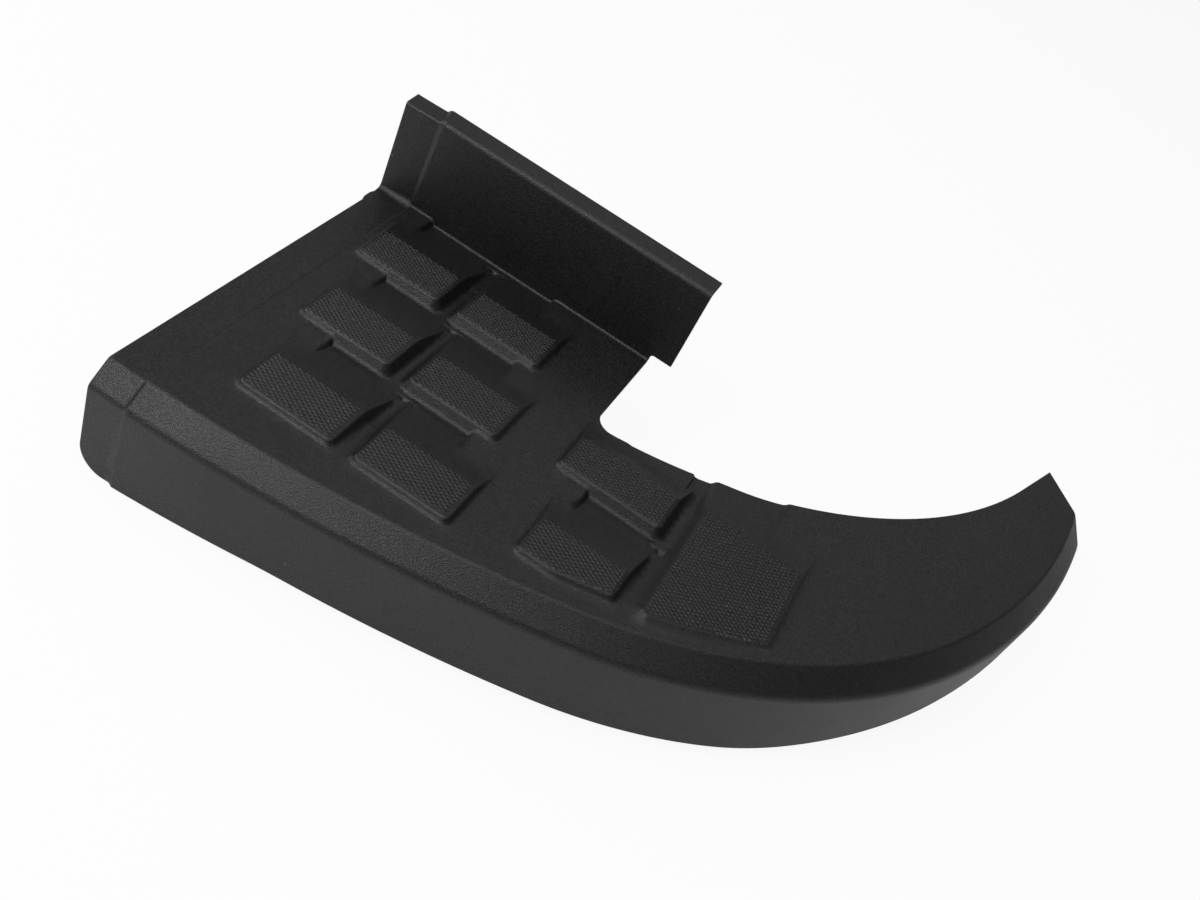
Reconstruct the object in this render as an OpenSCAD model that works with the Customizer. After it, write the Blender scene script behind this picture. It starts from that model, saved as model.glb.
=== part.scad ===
// Entry step cover: one thermoformed plastic sheet that lies over the step of a vehicle's cab.
// It has a tread with raised grip pads, an upstand with a return lip along the back, a bevelled
// front edge that drops into a skirt, a lap strip on the left for the next panel and a crescent
// horn that follows the wheel arch. Every wall is the same sheet, pressed over one form and then
// trimmed, so the source makes the outer form, takes away the same form one sheet further in and
// trims what is left.
// X runs along the upstand, +Y points towards the vehicle and Z is up.

/* [Sheet] */
// Thickness of the formed sheet
sheet_t = 3; // [2:0.25:4]
// Outer radius of the bends at the lip, the bevel and the skirt
bend_r = 5; // [4.5:0.5:8]
// Radius in the corner between tread and upstand
foot_r = 2.5; // [1:0.5:5]

/* [Tread] */
// Length of the tread along the upstand, from the lap line to the arch side
tread_w = 232.5; // [222:0.5:245]
// Depth of the tread from the upstand to the front wall, at the lap line
tread_d = 327.2; // [320:0.2:340]

/* [Front wall] */
// Direction of the front wall at the lap line, in degrees from X
front_heading = 1.3; // [0:0.1:2]
// Radius of the long front
front_r = 1300; // [1250:5:1400]
// Angle of the long front
front_sweep = 13.7; // [12.5:0.1:15]
// Radius of the turn into the horn
turn_r = 409; // [400:1:425]
// Angle of the turn into the horn
turn_sweep = 45.4; // [43:0.1:48]
// Radius of the horn's outer wall
horn_r = 520; // [480:5:600]
// Width of the bevel, seen from above
bevel_w = 17.7; // [12:0.1:20]
// Height of the bevel
bevel_h = 16; // [12:0.1:20]

/* [Skirt] */
// Depth of the skirt below the tread at its left end
skirt_left_h = 92; // [84:1:96]
// Depth of the skirt below the tread along the front
skirt_h = 80; // [70:1:83]
// Depth of the skirt below the tread at the horn's end
skirt_horn_h = 52; // [42:1:65]
// Place along X where the lower edge levels out
skirt_level_x = 115; // [80:5:160]
// Place along X where the lower edge starts to rise towards the horn
skirt_rise_x = 450; // [400:5:480]
// Radius of the skirt's lower left corner
skirt_corner_r = 20; // [8:1:25]

/* [Upstand] */
// Height of the upstand above the tread
upstand_h = 81; // [60:1:110]
// Backward lean of the upstand, in degrees
lean = 3.7; // [0:0.1:6]
// Width of the return lip, from the face of the upstand
lip_w = 21.8; // [12:0.2:28]
// Slant across the left end of the lip, along X
lip_slant = 1.3; // [0:0.1:6]
// Length of the upstand past the arch side of the tread
overhang = 18.5; // [10:0.5:26]
// Height of the open notch under the overhang
overhang_gap = 6; // [5:0.5:12]
// Radius in the corner of the notch
notch_r = 3; // [1:0.5:4]

/* [Lap strip] */
// Width of the lap strip
lap_w = 31; // [20:1:40]
// Step down from the main surface to the lap strip
lap_d = 2.2; // [1:0.1:3]
// Width of the sloped step
lap_run = 2.5; // [1.5:0.1:4]
// Distance that the step moves to the right up to the lip
lap_drift = 2.4; // [0:0.1:7]
// Lean of the strip's free end to the left, up to the lip
lap_flare = 3.5; // [0:0.5:8]

/* [Arch side and horn] */
// Depth of the arch side, from the upstand to the start of the arch edge
arch_d = 102; // [95:1:108]
// Distance along X from the arch side to the start of the arch edge
arch_lead = 17.5; // [17:0.5:22]
// Radius of the inner corner between the arch side and the arch edge
arch_corner_r = 14; // [6:1:15]
// Direction of the arch edge at its start, in degrees
arch_heading = 8.2; // [6:0.1:9]
// Radius of the arch edge
arch_r = 387; // [380:1:400]
// Angle of the curved part of the arch edge
arch_sweep = 60.6; // [58:0.1:62]
// Length of the straight part of the arch edge, up to the horn's tip
horn_tip_l = 54.5; // [40:0.5:65]
// Direction of the cut across the horn's end, in degrees
horn_cut = -49; // [-60:1:-35]

/* [Grip pads] */
// Height of a pad above the tread
pad_h = 4.4; // [2:0.1:6]
// Corner radius of a pad
pad_r = 4; // [2:0.5:6]
// Radius along a pad's top edges
pad_edge_r = 1.4; // [0.5:0.1:2]
// Draft of all raised and sunken walls, in degrees
draft = 20; // [8:1:28]
// Distance between rows
row_pitch = 90; // [84:0.5:92]
// Offset of each row against the one behind it
row_shift = 15; // [5:0.5:20]

/* [Left pads] */
// Width of a pad in the left group
pad_w = 73; // [60:0.5:76]
// Depth of a pad, front to back
pad_l = 39.5; // [30:0.5:44]
// Left edge of the first pad, from the lap line
first_pad_x = 7.8; // [5:0.2:12]
// Rear edge of the first row, from the upstand
first_pad_y = 49; // [46:0.5:54]
// Distance between the two columns of the left group
column_pitch = 91; // [90:0.5:94]

/* [Middle pads] */
// Width of the rear pad in the middle column
middle_pad_w = 83.5; // [76:0.5:86]
// Depth of the pads in the middle column
middle_pad_l = 37; // [30:0.5:42]
// Rear edge of the middle column, from the upstand
middle_pad_y = 126.5; // [122:0.5:132]
// Strip of tread between the bevel and the front pad of the middle column
middle_margin = 19; // [12:0.5:24]

/* [Large pad] */
// Width of the large pad
large_pad_w = 82.5; // [70:0.5:90]
// Rear edge of the large pad, from the upstand
large_pad_y = 118; // [112:0.5:124]
// Distance between the middle column and the large pad
large_gap = 20.5; // [16:0.5:24]
// Strip of tread between the bevel and the large pad
large_margin = 13; // [8:0.5:18]

/* [Sunken ramps] */
// Depth of the landing in front of a pad
pit_d = 4.4; // [2:0.1:5]
// Length of the level landing
landing_l = 7; // [4:0.5:10]
// Part of a pad's width that stays outside the ramp
pit_side = 16.7; // [12:0.1:22]
// Depth of the hollow at the arch edge behind the rear pad of the middle column
arch_pit_d = 0.8; // [0.4:0.1:1.5]
// Depth of the hollow at the arch edge behind the large pad
large_pit_d = 2.4; // [1:0.1:3]
// Width of that hollow
large_pit_w = 49; // [35:1:60]
// Extra depth of the channel between two pads, where it starts
channel_drop = 2; // [0.5:0.1:2.5]

/* [Hidden] */

rows = 3;
columns = 2;
bend_steps = 5;
edge_steps = 2;
corner_steps = 4;
front_steps = 8;
turn_steps = 16;
horn_steps = 10;
arch_steps = 20;
pad_front_steps = 5;

// Reach of the forms and cuts past the trimmed edges
over = 60;
form_depth = 130;
horn_sweep = 40;
air = 1;
// Depth at which one form passes under the surface of another
tuck = 0.1;
// Smallest radius that a moved line keeps
least_r = 0.3;
// Depth of the pads' walls below the deepest channel's underside
wall_spare = 2;
// Distance from the landing's front back to the top of the channel's step
step_back = 1;

skirt_bend_r = 400;
rise_bend_r = 300;
pit_r = 1.5;
pad_reach = pit_d + channel_drop + sheet_t + wall_spare;
ramp_angle = atan((pad_h + pit_d) / (row_pitch - pad_l - landing_l - wall_run(pad_h + pit_d)));
large_ramp_angle = ramp_angle / 2;
// Distance of the middle column from the line of the arch side
middle_lead = 0.5;
middle_x0 = tread_w + middle_lead;
middle_x1 = middle_x0 + middle_pad_w;
large_x0 = middle_x1 + large_gap;
large_x1 = large_x0 + large_pad_w;
// Place of the seat under the tread, from the arch side and from the upstand
seat_from_arch = 17;
seat_y = 150;
seat_x = tread_w - seat_from_arch;

// Lines, arcs and offsets

function unit(v) = v / norm(v);
function left_of(a, b) = let(d = unit(b - a)) [-d.y, d.x];
function turn_at(a, b, c) = cross(b - a, c - b);
function wall_run(h) = h * tan(draft);

// An open line moved by k to its left
function shifted(line, k) =
    let(last = len(line) - 1)
    [for (i = [0 : last])
        let(
            before = left_of(line[max(i - 1, 0)], line[max(i, 1)]),
            after = left_of(line[min(i, last - 1)], line[min(i + 1, last)])
        )
        line[i] + k * (before + after) / (1 + before * after)];

// The points of a round corner of radius r at b
function corner(a, b, c, r, steps) =
    let(
        u = unit(a - b),
        v = unit(c - b),
        half = acos(u * v) / 2,
        centre = b + unit(u + v) * r / sin(half),
        first = b + u * r / tan(half) - centre,
        start = atan2(first.y, first.x),
        sweep = (cross(u, v) > 0 ? -1 : 1) * (180 - 2 * half)
    )
    [for (i = [0 : steps]) centre + r * [cos(start + sweep * i / steps), sin(start + sweep * i / steps)]];

// An open line with a radius at each inner point, moved by k to its left. A left turn tightens
// and a right turn widens as the line moves.
function bent(line, radii, k, steps) =
    let(moved = shifted(line, k), last = len(line) - 1)
    [
        moved[0],
        for (i = [1 : last - 1])
            let(grow = turn_at(line[i - 1], line[i], line[i + 1]) > 0 ? -k : k)
            each corner(moved[i - 1], moved[i], moved[i + 1], max(radii[i - 1] + grow, least_r), steps),
        moved[last]
    ];

function arc_end(p, heading, r, sweep) =
    p + r * [sin(heading + sweep) - sin(heading), cos(heading) - cos(heading + sweep)];
function arc_centre(p, heading, r) = p + r * [-sin(heading), cos(heading)];

// Points of an arc that starts at p, moved outwards by out, from the given step on
function arc_run(p, heading, r, sweep, steps, out, from = 0) =
    [for (i = [from : steps - 1])
        let(a = heading + sweep * i / steps)
        arc_end(p, heading, r, a - heading) + out * [sin(a), -cos(a)]];

// The lower side of a circle at x
function circle_y(x, centre, r) = centre.y - sqrt(r * r - (x - centre.x) * (x - centre.x));

// Distance from p, inside a circle, along the direction u to the circle
function way_out(p, u, centre, r) = let(d = p - centre, b = d * u) sqrt(b * b - d * d + r * r) - b;

function reversed(list) = [for (i = [len(list) - 1 : -1 : 0]) list[i]];
function at_z(outline, z) = [for (p = outline) [p.x, p.y, z]];
function at_x(outline, x) = [for (p = outline) [x, p.x, p.y]];

// A solid through a stack of outlines with equal numbers of points, each one anticlockwise as
// seen from the end of the stack
module skin(rings) {
    n = len(rings[0]);
    top = (len(rings) - 1) * n;
    polyhedron(
        points = [for (ring = rings) each ring],
        faces = [
            [for (i = [0 : n - 1]) i],
            [for (i = [n - 1 : -1 : 0]) top + i],
            for (j = [0 : len(rings) - 2])
                for (i = [0 : n - 1])
                    let(a = j * n + i, b = j * n + (i + 1) % n)
                    each [[a, a + n, b + n], [a, b + n, b]]
        ],
        convexity = 8
    );
}

// A prism along X of a shape drawn in Y and Z
module along_x(x0, x1) {
    translate([x0, 0, 0]) rotate([90, 0, 90]) linear_extrude(x1 - x0) children();
}

// A prism along Y of a shape drawn in X and Z
module along_y(y0, y1) {
    translate([0, y1, 0]) rotate([90, 0, 0]) linear_extrude(y1 - y0) children();
}

// The front wall, seen from above

front_start = [0, -tread_d];
turn_heading = front_heading + front_sweep;
turn_start = arc_end(front_start, front_heading, front_r, front_sweep);
horn_heading = turn_heading + turn_sweep;
horn_start = arc_end(turn_start, turn_heading, turn_r, turn_sweep);
horn_end = arc_end(horn_start, horn_heading, horn_r, horn_sweep);
front_centre = arc_centre(front_start, front_heading, front_r);
turn_centre = arc_centre(turn_start, turn_heading, turn_r);
horn_centre = arc_centre(horn_start, horn_heading, horn_r);

// Y of the front wall at x, moved outwards by out
function front_at(x, out) =
    x < turn_start.x + out * sin(turn_heading)
        ? circle_y(x, front_centre, front_r + out)
        : circle_y(x, turn_centre, turn_r + out);

// Plan of the form from x = left to the front wall, moved outwards by out
function front_ring(left, out, z) =
    at_z(
        [
            [left, front_at(left, out)],
            each arc_run(front_start, front_heading, front_r, front_sweep, front_steps, out, 1),
            each arc_run(turn_start, turn_heading, turn_r, turn_sweep, turn_steps, out),
            each arc_run(horn_start, horn_heading, horn_r, horn_sweep, horn_steps, out),
            horn_end,
            [left, horn_end.y]
        ],
        z
    );

// The sections of the form. Each is a line with the form on its left, moved in by k.

front_line = [[0, -form_depth], [0, -bevel_h], [-bevel_w, 0], [-bevel_w - 2 * bend_r, 0]];
lean_run = upstand_h * tan(lean);
upstand_top = [[-lean_run, upstand_h], [-lean_run - over, upstand_h]];

// A line of [distance in front of the upstand, z], closed below and turned to Y and Z
function closed_section(top) =
    reversed([
        for (p = [[top[0].x, -form_depth], each top, [top[len(top) - 1].x, -form_depth]]) [-p.x, p.y]
    ]);

// Upstand and lip on a floor at foot_z
function upstand_section(k, foot_z) =
    closed_section(bent(
        [[2 * foot_r, foot_z - tuck], [0, foot_z - tuck], each upstand_top],
        [foot_r, bend_r], k, bend_steps
    ));

// The whole section at the lap line
function whole_section(k) =
    closed_section(bent(
        [[tread_d, 1 - form_depth], [tread_d, -bevel_h], [tread_d - bevel_w, 0], [0, 0], each upstand_top],
        [bend_r, bend_r, foot_r, bend_r], k, bend_steps
    ));

// Raised pads

// Side of a pad as a line of [distance outside the pad's top edge, z]
function pad_side(k) =
    bent(
        [[wall_run(pad_h + pad_reach), -pad_reach], [0, pad_h], [-2 * pad_edge_r, pad_h]],
        [pad_edge_r], k, edge_steps
    );

// One rounded corner of a pad, turned from its side
module corner_post(k) {
    side = [for (p = pad_side(k)) [max(pad_r + p.x, least_r), p.y]];
    rotate_extrude($fn = 4 * corner_steps)
        polygon([[0, side[0].y], each side, [0, side[len(side) - 1].y]]);
}

// A pad with the ramp that climbs to its rear edge. box is [x0, x1, front y, rear y], and the
// front keeps a margin of tread behind the bevel.
module pad(box, slope, margin, k) {
    x0 = box[0] + pad_r;
    x1 = box[1] - pad_r;
    rear = box[3] + (pad_h + pit_d) / tan(slope);
    lift = pad_h + air;
    difference() {
        hull()
            for (i = [0 : pad_front_steps]) {
                x = x0 + (x1 - x0) * i / pad_front_steps;
                front = max(box[2] + pad_r, front_at(x, -bevel_w - margin - pad_r));
                translate([x, front, 0]) corner_post(k);
                translate([x, rear, 0]) corner_post(k);
            }
        along_x(box[0] - over, box[1] + over)
            translate([box[3] - k * tan(slope / 2), pad_h - k])
                polygon([
                    [-lift / tan(slope), lift],
                    [(pad_h + pad_reach) / tan(slope), -pad_h - pad_reach],
                    [(pad_h + pad_reach) / tan(slope), lift]
                ]);
    }
}

// Sunken floors

// Shift of a sunken floor's edge when the form moves in by k
function floor_shift(k) = k * tan(45 - draft / 2);

module pit(box, depth, k) {
    r = pit_r + floor_shift(k);
    h = depth + k + air;
    hull()
        for (x = [box[0] + pit_r, box[1] - pit_r])
            for (y = [box[2] + pit_r, box[3] - pit_r])
                translate([x, y, -depth - k])
                    cylinder(h = h, r1 = r, r2 = r + wall_run(h), $fn = 4 * corner_steps);
}

// A channel between two pads. Its floor goes from start [y, z] to end [y, z] and on in the same
// line, and a step of 45 degrees leads down to the start.
module channel(x0, x1, start, end, k) {
    slope = (end.y - start.y) / (end.x - start.x);
    low = start + [k * tan(22.5), -k];
    past = landing_l / 2;
    top = pad_h + air;
    along_x(x0 - k, x1 + k)
        polygon([
            low, [end.x - past, end.y - past * slope - k], [end.x - past, top],
            low + (top - low.y) * [1, 1]
        ]);
}

// Places of the pads

function left_x(row, column) = first_pad_x + row_shift * row + column_pitch * column;
function rear_y(row) = -first_pad_y - row_pitch * row;
function front_y(row) = rear_y(row) - pad_l;

// Foot of the wall behind each landing, and the top of the channel's step in front of it
function landing_y(row) = row == 0 ? 0 : front_y(row - 1) - wall_run(pad_h + pit_d);
function step_y(landing) = landing - landing_l + step_back;

function pit_x0(row) = left_x(row, 0) + pit_side;
function pit_x1(row) = left_x(row, 1) + pad_w - row_shift - pit_side;

module left_group(k) {
    for (row = [0 : rows - 1])
        for (column = [0 : columns - 1]) {
            x = left_x(row, column);
            pad([x, x + pad_w, front_y(row), rear_y(row)], ramp_angle, large_margin, k);
        }
}

module left_pits(k) {
    for (row = [0 : rows - 1])
        pit([pit_x0(row), pit_x1(row), rear_y(row), row == 0 ? over : front_y(row - 1)], pit_d, k);
}

module left_channels(k) {
    for (row = [0 : rows - 1]) {
        start_y = step_y(landing_y(row)) - channel_drop;
        end = row < rows - 1 ? [front_y(row) - landing_l, -pit_d] : [front_y(row), -tuck];
        channel(left_x(row, 0) + pad_w, left_x(row, 1), [start_y, -pit_d - channel_drop], end, k);
    }
}

middle_front_y = -middle_pad_y - middle_pad_l;
middle_landing_y = middle_front_y - wall_run(pad_h + pit_d);
second_rear_y = -middle_pad_y - row_pitch;

module middle_group(k) {
    pad([middle_x0, middle_x1, middle_front_y, -middle_pad_y], ramp_angle, middle_margin, k);
    pad(
        [middle_x0 + row_shift, middle_x1, second_rear_y - middle_pad_l, second_rear_y],
        ramp_angle, middle_margin, k
    );
}

module middle_pits(k) {
    x0 = middle_x0 + 2 * row_shift;
    x1 = middle_x1 + wall_run(pad_h);
    pit([x0, x1, -middle_pad_y, over], arch_pit_d, k);
    pit([x0, x1, second_rear_y, middle_front_y], pit_d, k);
}

module large_pad(k) {
    x_front = large_x0 + pad_r;
    front_y = front_at(x_front, -bevel_w - large_margin);
    pad([large_x0, large_x1, front_y - pad_r, -large_pad_y], large_ramp_angle, large_margin, k);
}

module large_pit(k) {
    x0 = large_x0 - wall_run(pad_h);
    pit([x0, x0 + large_pit_w, -large_pad_y, over], large_pit_d, k);
}

// The long channel between the middle column and the large pad has a gentle upper part and a
// lower part that rises to the front
module middle_channels(k) {
    start_y = step_y(middle_landing_y);
    upper_end = [start_y - channel_drop, tuck - pit_d];
    channel(middle_x1, large_x0, [over, -large_pit_d - tuck], upper_end, k);
    channel(
        middle_x1, large_x0,
        [start_y - channel_drop, -pit_d - channel_drop],
        [front_at(large_x0, -bevel_w - middle_margin), -tuck], k
    );
}

// The form

module tread_form(k) {
    left = lap_shift(k);
    difference() {
        skin([
            for (p = bent(front_line, [bend_r, bend_r], k, bend_steps)) front_ring(left, p.x, p.y)
        ]);
        left_pits(k);
        left_channels(k);
        middle_pits(k);
        large_pit(k);
        middle_channels(k);
    }
    left_group(k);
    middle_group(k);
    large_pad(k);
}

module upstand_form(k) {
    x0 = pit_x0(0) - floor_shift(k);
    x1 = pit_x1(0) + floor_shift(k);
    side = wall_run(pit_d);
    skin([
        at_lap(upstand_section(k, 0), lap_shift(k)),
        at_x(upstand_section(k, 0), x0 - side),
        at_x(upstand_section(k, -pit_d), x0),
        at_x(upstand_section(k, -pit_d), x1),
        at_x(upstand_section(k, 0), x1 + side),
        at_x(upstand_section(k, 0), tread_w + overhang + over)
    ]);
}

// The lap strip lies a step lower than the main surface. The step's line drifts to the right on
// its way up the upstand.
function lap_shift(k) = k * tan(atan(lap_d / lap_run) / 2);
function at_lap(outline, x) =
    [for (p = outline) [x + lap_drift * max(p.y, 0) / upstand_h, p.x, p.y]];

module lap_form(k) {
    skin([
        at_x(whole_section(k + lap_d), -lap_w - over),
        at_lap(whole_section(k + lap_d), lap_shift(k) - lap_run),
        at_lap(whole_section(k + tuck), lap_shift(k) + tuck)
    ]);
}

module form(k) {
    tread_form(k);
    upstand_form(k);
    lap_form(k);
}

// The trimmed edges

cut_dir = [cos(horn_cut), sin(horn_cut)];
arch_start = [tread_w + arch_lead, -arch_d];
arch_foot = [tread_w, -arch_d - arch_lead * tan(arch_heading)];
arch_end = arc_end(arch_start, arch_heading, arch_r, arch_sweep);
tip_dir = [cos(arch_heading + arch_sweep), sin(arch_heading + arch_sweep)];
horn_tip = arch_end + horn_tip_l * tip_dir;
skirt_end_x = horn_tip.x + cut_dir.x * way_out(horn_tip, cut_dir, horn_centre, horn_r);
far = horn_end.x + 2 * over;
lip_end = lean_run + lip_w;

module plan_trim() {
    linear_extrude(2 * form_depth + 2 * upstand_h, center = true)
        polygon([
            [-lap_w, -tread_d - over],
            [far, -tread_d - over],
            horn_tip + cut_dir * (far - horn_tip.x) / cut_dir.x,
            horn_tip,
            arch_end,
            each reversed(arc_run(arch_start, arch_heading, arch_r, arch_sweep, arch_steps, 0)),
            each reversed(corner([tread_w, 0], arch_foot, arch_start, arch_corner_r, bend_steps)),
            [tread_w, -foot_r],
            [tread_w + overhang, -foot_r],
            [tread_w + overhang, lip_end],
            [-lap_w - lap_flare - lip_slant, lip_end],
            [-lap_w - lap_flare, lean_run],
            [-lap_w, -foot_r]
        ]);
}

// The skirt's lower edge, seen from the front
module side_trim() {
    rise = (skirt_h - skirt_horn_h) / (skirt_end_x - skirt_rise_x);
    top = upstand_h + air;
    line = [
        [-lap_w, -bevel_h], [-lap_w, -skirt_left_h], [skirt_level_x, -skirt_h], [skirt_rise_x, -skirt_h],
        [far, (far - skirt_rise_x) * rise - skirt_h]
    ];
    along_y(-tread_d - over, far)
        polygon([
            each bent(line, [skirt_corner_r, skirt_bend_r, rise_bend_r], 0, bend_steps),
            [far, top], [-lap_w - over, top], [-lap_w - over, -bevel_h]
        ]);
}

// The notch under the overhang, which bites a little into the corner of the tread
module notch_trim() {
    x0 = tread_w - tuck;
    x1 = tread_w + overhang + air;
    line = [[x0, -form_depth], [x0, overhang_gap], [x1, overhang_gap]];
    along_y(-foot_r - air, lip_end + air)
        polygon([each bent(line, [notch_r], 0, bend_steps), [x1, -form_depth]]);
}

module step_cover() {
    color("dimgray")
        translate([-seat_x, seat_y, sheet_t])
            difference() {
                intersection() {
                    difference() {
                        form(0);
                        form(sheet_t);
                    }
                    plan_trim();
                    side_trim();
                }
                notch_trim();
            }
}

step_cover();
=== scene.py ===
"""Looks of the entry step cover: one thermoformed black sheet, in the CAD's own frame.

The sheet is one closed mesh. Its shape is written as a map from a flat drawing to space: the
tread is drawn in plan, the upstand and the lip are unrolled behind it, and the bevel and the
skirt are unrolled in front of it. The sheet's lengths are millimetres until its mesh is made. The
stage, the lamps and the camera are in metres.
"""

import math

import bpy
import numpy as np
from mathutils import Matrix, Vector
from mathutils.geometry import delaunay_2d_cdt


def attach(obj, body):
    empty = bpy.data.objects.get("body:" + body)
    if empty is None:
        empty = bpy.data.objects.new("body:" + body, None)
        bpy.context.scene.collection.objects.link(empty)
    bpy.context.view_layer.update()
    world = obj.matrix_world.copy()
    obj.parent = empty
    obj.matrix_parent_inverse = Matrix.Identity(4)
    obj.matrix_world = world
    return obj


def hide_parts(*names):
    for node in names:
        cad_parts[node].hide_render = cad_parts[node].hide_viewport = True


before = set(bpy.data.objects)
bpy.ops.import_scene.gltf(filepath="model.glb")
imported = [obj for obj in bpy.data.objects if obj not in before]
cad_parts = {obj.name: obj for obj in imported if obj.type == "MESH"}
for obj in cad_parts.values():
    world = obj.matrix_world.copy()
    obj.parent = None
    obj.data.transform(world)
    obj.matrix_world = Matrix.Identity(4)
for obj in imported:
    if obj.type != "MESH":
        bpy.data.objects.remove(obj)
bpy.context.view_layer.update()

MM = 0.001
BIG = 1.0e4

# Sizes that the CAD source has too
SHEET = 3.0
BEND_R = 5.0
FOOT_R = 2.5
TREAD_W = 232.5
TREAD_D = 327.2
FRONT_HEADING, FRONT_R, FRONT_SWEEP = 1.3, 1300.0, 13.7
TURN_R, TURN_SWEEP = 409.0, 45.4
HORN_R = 520.0
BEVEL_W, BEVEL_H = 17.7, 16.0
SKIRT_LEFT, SKIRT, SKIRT_HORN = 92.0, 80.0, 52.0
LEVEL_X, RISE_X = 115.0, 450.0
SKIRT_CORNER_R, LEVEL_R, RISE_R = 20.0, 400.0, 300.0
UPSTAND_H = 81.0
LEAN = math.radians(3.7)
LIP_W = 21.8
LIP_SLANT = 1.3
OVERHANG, OVERHANG_GAP, NOTCH_R = 18.5, 6.0, 3.0
LAP_W, LAP_D, LAP_RUN, LAP_DRIFT, LAP_FLARE = 31.0, 2.2, 2.5, 2.4, 3.5
ARCH_D, ARCH_LEAD, ARCH_CORNER_R = 102.0, 17.5, 14.0
ARCH_HEADING, ARCH_R, ARCH_SWEEP = 8.2, 387.0, 60.6
TIP_L, HORN_CUT = 54.5, -49.0
PAD_H, PAD_R = 4.4, 4.0
DRAFT = math.tan(math.radians(20.0))
ROW_PITCH, ROW_SHIFT = 90.0, 15.0
PAD_W, PAD_L = 73.0, 39.5
FIRST_X, FIRST_Y, COLUMN_PITCH = 7.8, 49.0, 91.0
MIDDLE_W, MIDDLE_L, MIDDLE_Y, MIDDLE_MARGIN = 83.5, 37.0, 126.5, 19.0
LARGE_W, LARGE_Y, LARGE_GAP, LARGE_MARGIN = 82.5, 118.0, 20.5, 13.0
PIT_D, LANDING, PIT_SIDE, PIT_R = 4.4, 7.0, 16.7, 1.5
ARCH_PIT_D, LARGE_PIT_D, LARGE_PIT_W = 0.8, 2.4, 49.0
CHANNEL_DROP = 2.0
MIDDLE_LEAD, STEP_BACK, TUCK = 0.5, 1.0, 0.1
PAST_EDGE, FORM_DEPTH = 60.0, 130.0
SEAT_FROM_ARCH, SEAT_Y = 17.0, 150.0
ORIGIN = np.array([-(TREAD_W - SEAT_FROM_ARCH), SEAT_Y, SHEET])

# Sizes of this mesh alone
LOW_BEND_R = 9.0
PAD_EDGE_R = 3.2
SOFT_DRAFT = math.tan(math.radians(32.0))
LARGE_DRAFT = math.tan(math.radians(50.0))
PIT_SOFT, FOOT_SOFT, RAMP_SOFT = 3.0, 3.2, 1.4
EDGE_SOFT, CHANNEL_SOFT, CHANNEL_END_SOFT, CHANNEL_WALL_SOFT = 1.2, 1.0, 1.4, 0.5
# Where the pads' fillets at the foot begin inside their outline, and over what length they grow
FOOT_LEAD, FOOT_GROWTH = 7, 4
LARGE_DROP = 3.0
ARCH_SLOPE = 1.35
LARGE_PIT_LEAD = 6
RAMP_SPARE = 6
# Share of the inner face's depth by which the pits and the channels' ends move
PIT_MITRE = math.tan(math.radians(35.0))
END_MITRE = 0.414
# The lap step's turn and taper in the lip, and its wider bend at the upstand's foot
LAP_TURN, LAP_TAPER, LAP_SOFT = 6.5, 0.9, 0.7
LAP_FOOT_R, LAP_FOOT_REACH = 3.0, 30
# The left edge near the upstand's foot: how far it stands out, and at what Y
LEFT_EDGE = ((1.3, 3), (0.7, -7), (1.9, -11), (1.7, -20), (0.0, -25))
# The diamond grain, and how much its tips are lightened by painted highlight and its grooves
# darkened by painted shade
GRAIN_X, GRAIN_Y, GRAIN_H = 2.93, 1.77, 0.65
TIP_HIGHLIGHT, GROOVE_SHADE = 1.0, -0.9
# The trimmed edge's rounding, and its rings of points inside the outline
EDGE_R, RIM_DROP, SECOND_DROP = 0.5, 0.8, 0.28
INSETS = (0.14, 0.5, 1.3)
# How far round a pad, a pit or a channel its form is worked out
NEAR, NEAR_FRONT = 8, 12
# Reach of the front's bends behind the bevel, and of the upstand's relief on the tread
FRONT_REACH, FOOT_FADE = 60, 6
# Reach of the upstand's bend on the tread, and of the upstand's part past its right end
FOOT_REACH, WALL_SPARE = 8 * FOOT_R, 5
# The skirt's rise goes on past the horn by this factor, and its end is first cut at this depth
PAST_HORN, CUT_DEPTH = 1.5, 20
# Distance between the outline's points, and the least that is kept
OUTLINE_STEP, OUTLINE_LEAST = 2.2, 0.5

WALL_L = UPSTAND_H / math.cos(LEAN)
LEAN_RUN = UPSTAND_H * math.tan(LEAN)
BEVEL_L = math.hypot(BEVEL_W, BEVEL_H)
WALL_RUN = (PAD_H + PIT_D) * DRAFT
SLOPE = (PAD_H + PIT_D) / (ROW_PITCH - PAD_L - LANDING - WALL_RUN)
LARGE_SLOPE = math.tan(math.atan(SLOPE) / 2)
MIDDLE_X0 = TREAD_W + MIDDLE_LEAD
MIDDLE_X1 = MIDDLE_X0 + MIDDLE_W
LARGE_X0 = MIDDLE_X1 + LARGE_GAP
LARGE_X1 = LARGE_X0 + LARGE_W
RIGHT_X = TREAD_W + OVERHANG


# Small tools
def rad(a):
    return np.radians(a)


def heading_vec(a):
    """Unit vector along a heading in degrees."""
    return np.stack([np.cos(rad(a)), np.sin(rad(a))], -1)


def out_vec(a):
    """Unit vector to the right of a heading in degrees: outwards on the front wall."""
    return np.stack([np.sin(rad(a)), -np.cos(rad(a))], -1)


def arc_end(p, heading, r, sweep):
    a, b = rad(heading), rad(heading + sweep)
    return np.asarray(p) + r * np.array([np.sin(b) - np.sin(a), np.cos(a) - np.cos(b)])


def arc_centre(p, heading, r):
    return np.asarray(p) - r * out_vec(heading)


def soft_ramp(t, w):
    """max(t, 0) with its corner rounded over w on each side."""
    return np.where(t >= w, t, np.where(t <= -w, 0.0, (t + w) ** 2 / (4 * w)))


def soft_min(a, b, k):
    h = np.clip(0.5 + 0.5 * (b - a) / k, 0, 1)
    return b * (1 - h) + a * h - k * h * (1 - h)


def soft_max(a, b, k):
    return -soft_min(-a, -b, k)


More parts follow.
